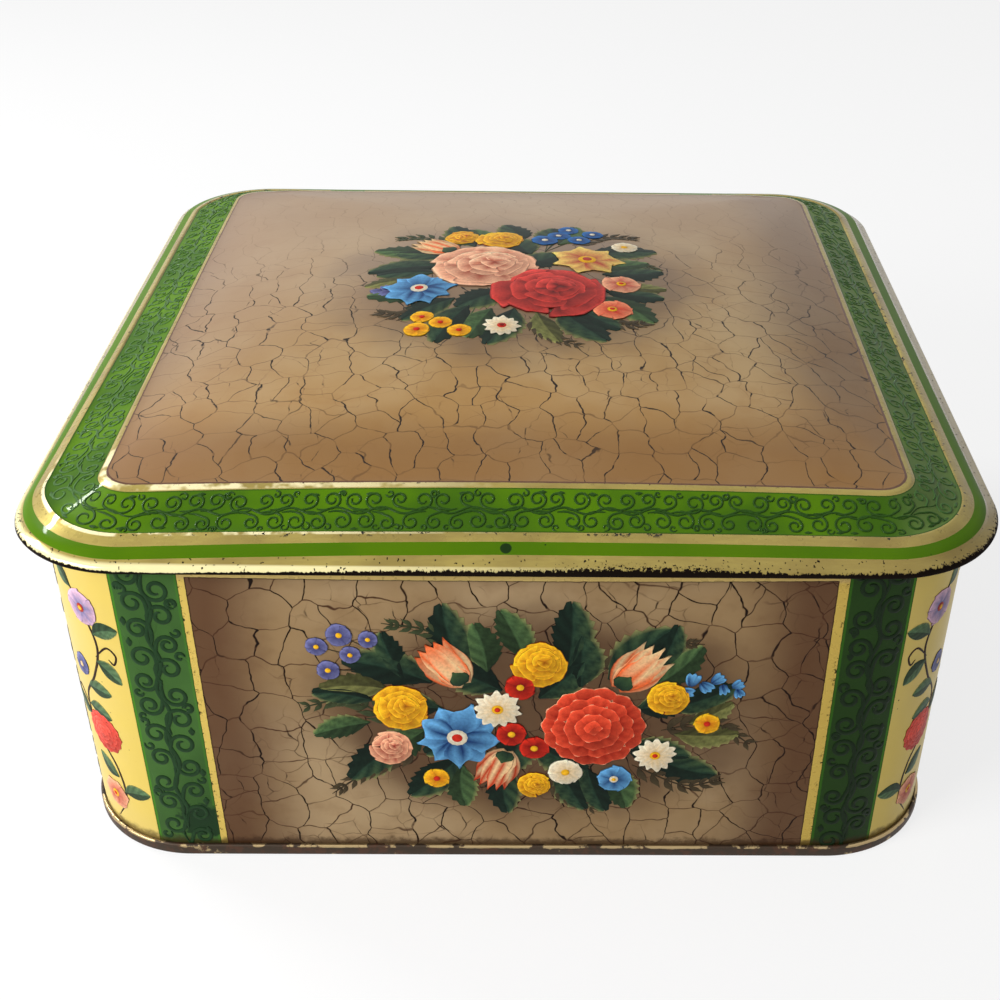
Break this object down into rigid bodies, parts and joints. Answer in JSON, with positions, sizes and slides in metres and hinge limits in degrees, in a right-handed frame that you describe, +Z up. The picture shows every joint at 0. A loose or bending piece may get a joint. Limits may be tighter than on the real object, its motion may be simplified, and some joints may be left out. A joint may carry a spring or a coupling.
{
  "type": "tin box",
  "caption": "Square hinged tin box with rounded corners, a domed lid on an overhanging rolled rim and a recessed base on a foot seam, for papers and keepsakes.",
  "frame": {"origin": "middle of the underside, at the level of the table that the foot seam stands on", "axes": "+Z up, +Y to the back, where the hinges are, +X to the right seen from the front"},
  "size_m": [0.2, 0.2, 0.0956],
  "materials": {
    "body_print": "varnished print on tinplate, tan crackle ground with green bands",
    "base_tin": "lacquered tinplate, worn at the seam",
    "lid_print": "varnished print on tinplate, tan crackle ground with a green and gold border",
    "hinge_steel": "dull tinned steel"
  },
  "bodies": {
    "box": {"body_wall": "body_print", "base_panel": "base_tin", "body_leaf_left": "hinge_steel", "body_leaf_right": "hinge_steel", "hinge_pin_left": "hinge_steel", "hinge_pin_right": "hinge_steel"},
    "lid": {"lid_shell": "lid_print", "lid_leaf_left": "hinge_steel", "lid_leaf_right": "hinge_steel"}
  },
  "joints": [
    {"name": "lid_hinge", "type": "hinge", "parent": "box", "child": "lid", "pos_m": [0, 0.09637, 0.07821], "axis": [-1, 0, 0], "range_deg": [0, 105]}
  ]
}
